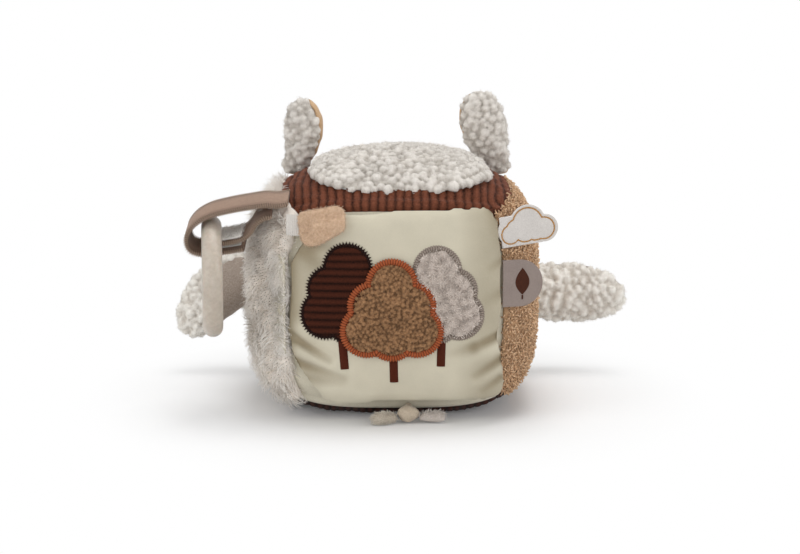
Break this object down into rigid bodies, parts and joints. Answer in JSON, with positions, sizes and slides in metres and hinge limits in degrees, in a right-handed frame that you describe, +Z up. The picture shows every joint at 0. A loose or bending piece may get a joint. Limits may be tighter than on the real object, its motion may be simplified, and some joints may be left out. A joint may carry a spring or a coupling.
{
  "type": "soft fabric activity block",
  "caption": "Stuffed fabric activity block for a baby, with an opening page, appliqué trees, ears, arms, fabric labels and a teething ring on a strap",
  "frame": {"origin": "middle of the block's flat resting face, on the floor", "axes": "+Z up, +X to the right as seen from the front, the front with the page faces -Y"},
  "size_m": [0.2758, 0.161, 0.1743],
  "materials": {
    "fill": "polyester wadding",
    "rattle_plastic": "moulded",
    "rattle_steel": "ground ball",
    "cream_velour": "short pile",
    "grey_plush": "long shaggy pile",
    "caramel_teddy": "curly teddy fleece",
    "red_brown_corduroy": "wide wale",
    "dark_brown_corduroy": "wide wale",
    "sherpa": "curly pile",
    "film": "crinkled clear film",
    "ribbed_ribbon": "ribbed weave",
    "peach_velour": "short pile",
    "brown_thread": "satin stitch",
    "trunk_thread": "satin stitch",
    "rust_thread": "satin stitch",
    "grey_thread": "zigzag stitch",
    "beige_plush": "short curly pile",
    "white_leather_cloth": "smooth coated",
    "tan_thread": "running stitch",
    "taupe_cloth": "printed twill",
    "brown_print": "print",
    "ear_velour": "short pile",
    "arm_plush": "short pile",
    "taupe_velour": "velour with overlocked edges",
    "hook_tape": "hook tape",
    "loop_tape": "loop tape",
    "ring_silicone": "matte silicone",
    "beige_ribbon": "knotted ribbon",
    "beige_cloth": "crumpled cotton",
    "grey_mauve_cloth": "soft fleece"
  },
  "bodies": {
    "block": {"stuffing": "fill", "rattle_case_front": "rattle_plastic", "rattle_case_back": "rattle_plastic", "panel_front": "cream_velour", "panel_back": "cream_velour", "panel_left": "grey_plush", "panel_right": "caramel_teddy", "panel_top": "red_brown_corduroy", "panel_bottom": "dark_brown_corduroy", "cap_shell": "sherpa", "cap_filling": "fill", "flap_spine": "cream_velour"},
    "ball": {"rattle_ball": "rattle_steel"},
    "flap": {"flap_face": "cream_velour", "flap_lining": "cream_velour", "crinkle_film": "film", "tab_ribbon": "ribbed_ribbon", "crown_left": "dark_brown_corduroy", "border_left": "brown_thread", "trunk_left": "trunk_thread", "crown_middle": "caramel_teddy", "border_middle": "rust_thread", "trunk_middle": "trunk_thread", "crown_right": "beige_plush", "border_right": "grey_thread", "trunk_right": "trunk_thread"},
    "tab": {"tab": "peach_velour"},
    "cloud": {"label_cloud": "white_leather_cloth", "cloud_stitching": "tan_thread"},
    "leaf": {"label_leaf": "taupe_cloth", "leaf_motif": "brown_print"},
    "ear_left": {"ear_left_outer": "sherpa", "ear_left_lining": "ear_velour"},
    "ear_right": {"ear_right_outer": "sherpa", "ear_right_lining": "ear_velour"},
    "arm_left": {"arm_left_outer": "sherpa", "arm_left_lining": "arm_plush"},
    "arm_right": {"arm_right_outer": "sherpa", "arm_right_lining": "arm_plush"},
    "strap": {"strap_long": "taupe_velour", "strap_short": "taupe_velour", "hook_patch": "hook_tape", "loop_patch": "loop_tape"},
    "ring": {"ring": "ring_silicone"},
    "tag": {"tag_stem": "beige_ribbon", "tag_knot": "beige_ribbon", "tag_end_left": "beige_cloth", "tag_end_right": "grey_mauve_cloth"}
  },
  "joints": [
    {"name": "rattle_roll", "type": "slide", "parent": "block", "child": "ball", "axis": [0, 1, 0], "range_m": [-0.008, 0.008]},
    {"name": "flap_open", "type": "hinge", "parent": "block", "child": "flap", "pos_m": [-0.05885, -0.07181, 0.067], "axis": [0, 0, -1], "range_deg": [0, 140]},
    {"name": "tab_lift", "type": "hinge", "parent": "flap", "child": "tab", "pos_m": [-0.05299, -0.0721, 0.11052], "axis": [0, 0, -1], "range_deg": [0, 45], "stiffness_Nm_per_rad": 0.002},
    {"name": "cloud_flex", "type": "hinge", "parent": "flap", "child": "cloud", "pos_m": [0.05679, -0.06806, 0.10599], "axis": [0, 0, -1], "range_deg": [-10, 60], "stiffness_Nm_per_rad": 0.002},
    {"name": "leaf_flex", "type": "hinge", "parent": "flap", "child": "leaf", "pos_m": [0.05812, -0.06984, 0.0785], "axis": [0, 0, -1], "range_deg": [-10, 60], "stiffness_Nm_per_rad": 0.002},
    {"name": "ear_left_tip", "type": "hinge", "parent": "block", "child": "ear_left", "pos_m": [-0.06209, 0.0437, 0.12778], "axis": [0.8556, 0, -0.5177], "range_deg": [-45, 25], "stiffness_Nm_per_rad": 0.02},
    {"name": "ear_right_tip", "type": "hinge", "parent": "block", "child": "ear_right", "pos_m": [0.06212, 0.04372, 0.12782], "axis": [0.9534, 0, 0.3016], "range_deg": [-45, 25], "stiffness_Nm_per_rad": 0.02},
    {"name": "arm_left_swing", "type": "hinge", "parent": "block", "child": "arm_left", "pos_m": [-0.07071, 0.06586, 0.05251], "axis": [0.2711, -0.3231, 0.9067], "range_deg": [-50, 10], "stiffness_Nm_per_rad": 0.05},
    {"name": "arm_right_swing", "type": "hinge", "parent": "block", "child": "arm_right", "pos_m": [0.06853, 0.06348, 0.05257], "axis": [-0.0129, 0, -0.9999], "range_deg": [-50, 10], "stiffness_Nm_per_rad": 0.05},
    {"name": "strap_swing", "type": "hinge", "parent": "block", "child": "strap", "pos_m": [-0.0585, -0.053, 0.1232], "axis": [0, 1, 0], "range_deg": [-2, 60], "stiffness_Nm_per_rad": 0.4},
    {"name": "ring_swing", "type": "hinge", "parent": "strap", "child": "ring", "pos_m": [-0.10151, -0.04972, 0.10713], "axis": [0, 1, 0], "range_deg": [-8, 45]},
    {"name": "tag_swing", "type": "hinge", "parent": "block", "child": "tag", "pos_m": [0.007, -0.06109, 0.00838], "axis": [-1, 0, 0], "range_deg": [0, 25], "stiffness_Nm_per_rad": 0.001}
  ]
}
